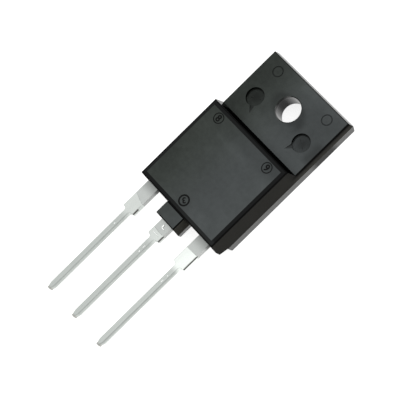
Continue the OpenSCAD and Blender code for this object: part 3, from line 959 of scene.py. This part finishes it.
# Stage. Lamps: place and size in metres. The camera is the photograph's, found from the straight edges,
# the corners and the hole: angles in degrees, its aim and distance in mm, and its lens in pixels.
FLOOR_HALF = 1.5
FLOOR_DROP = 0.05 * MM
FLOOR_ROUGHNESS = 0.9
KEY_PLACE, KEY_SIZE = (-0.30, -0.03, 0.54), 0.80
SIDE_PLACE, SIDE_SIZE = (0.17, 0.28, 0.30), 0.35
LAMP_AIM = (0.0, -0.015, 0.0)
CAMERA_AZIMUTH, CAMERA_ELEVATION, CAMERA_ROLL = 6.529, 64.129, -50.363
CAMERA_AIM = (0.27, -16.831, 2.5)
CAMERA_DISTANCE = 262.481
HALF_WIDTH_PIXELS = 201
FOCAL_LENGTH_PIXELS = 1957.274
CLIP_NEAR, CLIP_FAR = 0.01, 10.0


def seen_directly(tree):
    """1 for what the camera, a mirror or glass shows, 0 for light that falls on things."""
    path = tree.nodes.new("ShaderNodeLightPath")
    return largest(tree, path.outputs["Is Camera Ray"], path.outputs["Is Glossy Ray"],
                   path.outputs["Is Transmission Ray"])


def make_floor(look):
    """A pale floor that keeps shadows and adds light only where it is seen."""
    mesh = bmesh.new()
    bmesh.ops.create_grid(mesh, x_segments=1, y_segments=1, size=FLOOR_HALF)
    data = bpy.data.meshes.new("floor")
    mesh.to_mesh(data)
    mesh.free()
    floor = bpy.data.objects.new("floor", data)
    floor.location.z = -FLOOR_DROP
    bpy.context.scene.collection.objects.link(floor)
    material, tree, shader = new_material("pale_floor")
    set_shader(tree, shader, {"Base Color": look.floor, "Roughness": FLOOR_ROUGHNESS,
                              "Specular IOR Level": 0.0, "Emission Color": WHITE,
                              "Emission Strength": times(tree, seen_directly(tree), look.back)})
    data.materials.append(material)


def make_world(look):
    """A plain room that looks white and lights the part a little less than that."""
    world = bpy.data.worlds.new("studio_room")
    bpy.context.scene.world = world
    world.use_nodes = True
    tree = world.node_tree
    set_shader(tree, tree.nodes["Background"],
               {"Color": WHITE, "Strength": blended(tree, seen_directly(tree), look.air, 1.0)})


def soft_light(name, position, size, power):
    """A square lamp that is aimed at the part."""
    data = bpy.data.lights.new(name, "AREA")
    data.shape = "SQUARE"
    data.size = size
    data.energy = power
    light = bpy.data.objects.new(name, data)
    light.location = position
    aim = Vector(LAMP_AIM) - Vector(position)
    light.rotation_mode = "QUATERNION"
    light.rotation_quaternion = aim.to_track_quat("-Z", "Y")
    bpy.context.scene.collection.objects.link(light)


def make_camera():
    """Camera of the photograph: 402 by 400 pixels, a long lens, turned about its own axis."""
    azimuth, elevation, roll = (math.radians(a) for a in (CAMERA_AZIMUTH, CAMERA_ELEVATION, CAMERA_ROLL))
    target = Vector(CAMERA_AIM) * MM
    back = Vector((math.cos(elevation) * math.cos(azimuth), math.cos(elevation) * math.sin(azimuth),
                   math.sin(elevation)))
    level = Vector((-math.sin(azimuth), math.cos(azimuth), 0.0))
    above = back.cross(level)
    right = math.cos(roll) * level + math.sin(roll) * above
    up = -math.sin(roll) * level + math.cos(roll) * above
    turned = Matrix((right, up, back)).transposed().to_4x4()
    data = bpy.data.cameras.new("camera")
    data.sensor_fit = "HORIZONTAL"
    data.angle = 2 * math.atan(HALF_WIDTH_PIXELS / FOCAL_LENGTH_PIXELS)
    data.clip_start, data.clip_end = CLIP_NEAR, CLIP_FAR
    camera = bpy.data.objects.new("camera", data)
    camera.matrix_world = Matrix.Translation(target + CAMERA_DISTANCE * MM * back) @ turned
    bpy.context.scene.collection.objects.link(camera)
    bpy.context.scene.camera = camera


# Operators

class TRANSISTOR_OT_case(bpy.types.Operator):
    """Gives the moulded case its matt front, its dark rim and its walls"""
    bl_idname = "transistor.case"
    bl_label = "Finish the case"

    def execute(self, context):
        dress("moulded_case", moulded_epoxy(context.scene.transistor_case))
        return {"FINISHED"}


class TRANSISTOR_OT_leads(bpy.types.Operator):
    """Gives the leads their bare plating"""
    bl_idname = "transistor.leads"
    bl_label = "Plate the leads"

    def execute(self, context):
        material = tin_plate(context.scene.transistor_leads)
        for name in LEAD_NODES:
            dress(name, material)
        return {"FINISHED"}


class TRANSISTOR_OT_coat(bpy.types.Operator):
    """Adds the solder round the dipped part of each lead"""
    bl_idname = "transistor.coat"
    bl_label = "Dip the leads"

    def execute(self, context):
        shape = context.scene.transistor_coat
        material = dipped_solder(context.scene.transistor_leads, shape)
        for name, pitches, dip_left, dip_right, beads in SOLDER_SLEEVES:
            solder_sleeve(name, pitches * PITCH, dip_left * MM, dip_right * MM, beads, shape, material)
        return {"FINISHED"}


class TRANSISTOR_OT_numbers(bpy.types.Operator):
    """Adds the cavity numbers in the ejector rings of the body"""
    bl_idname = "transistor.numbers"
    bl_label = "Number the cavity"

    def execute(self, context):
        shape = context.scene.transistor_numbers
        material = digit_paint(shape)
        for name, text, x, y, height, turn in (
                ("cavity_number_left", shape.left, -RING_X, RING_Y, shape.height, 0.0),
                ("cavity_number_right", shape.right, RING_X, RING_Y, shape.height, 0.0),
                ("cavity_number_low", shape.low, 0.0, LOW_RING_Y, shape.low_height, shape.low_turn)):
            digit(name, text, x, y, height, turn, shape, material)
        return {"FINISHED"}


class TRANSISTOR_OT_sealed(bpy.types.Operator):
    """Gives the chip, its solder and the bond wires their metals"""
    bl_idname = "transistor.sealed"
    bl_label = "Finish the sealed pieces"

    def execute(self, context):
        for name, pieces, tint, roughness, scale in SEALED_METALS:
            material = sealed_metal(name, tint, roughness, scale)
            for piece in pieces:
                dress(piece, material)
        return {"FINISHED"}


class TRANSISTOR_OT_stage(bpy.types.Operator):
    """Adds the pale floor, the soft lights and the camera"""
    bl_idname = "transistor.stage"
    bl_label = "Set the stage"

    def execute(self, context):
        look = context.scene.transistor_stage
        make_floor(look)
        make_world(look)
        soft_light("key_light", KEY_PLACE, KEY_SIZE, look.key)
        soft_light("side_light", SIDE_PLACE, SIDE_SIZE, look.side)
        make_camera()
        context.scene.view_settings.view_transform = "Standard"
        return {"FINISHED"}


STEPS = (TRANSISTOR_OT_case, TRANSISTOR_OT_leads, TRANSISTOR_OT_coat, TRANSISTOR_OT_numbers,
         TRANSISTOR_OT_sealed, TRANSISTOR_OT_stage)


class TRANSISTOR_PT_panel(bpy.types.Panel):
    """Settings and steps of the transistor"""
    bl_idname = "TRANSISTOR_PT_panel"
    bl_label = "Transistor"
    bl_space_type = "VIEW_3D"
    bl_region_type = "UI"
    bl_category = "Transistor"

    def draw(self, context):
        for name, group in GROUPS.items():
            box = self.layout.box()
            settings = getattr(context.scene, name)
            for prop in group.__annotations__:
                box.prop(settings, prop)
        for step in STEPS:
            self.layout.operator(step.bl_idname)


def register():
    for name, group in GROUPS.items():
        bpy.utils.register_class(group)
        setattr(bpy.types.Scene, name, PointerProperty(type=group))
    for step in STEPS:
        bpy.utils.register_class(step)
    bpy.utils.register_class(TRANSISTOR_PT_panel)


def unregister():
    bpy.utils.unregister_class(TRANSISTOR_PT_panel)
    for step in reversed(STEPS):
        bpy.utils.unregister_class(step)
    for name, group in reversed(list(GROUPS.items())):
        delattr(bpy.types.Scene, name)
        bpy.utils.unregister_class(group)


def build_transistor():
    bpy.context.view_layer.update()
    register()
    bpy.ops.transistor.case()
    bpy.ops.transistor.leads()
    bpy.ops.transistor.coat()
    bpy.ops.transistor.numbers()
    bpy.ops.transistor.sealed()
    bpy.ops.transistor.stage()


if __name__ == "__main__":
    build_transistor()
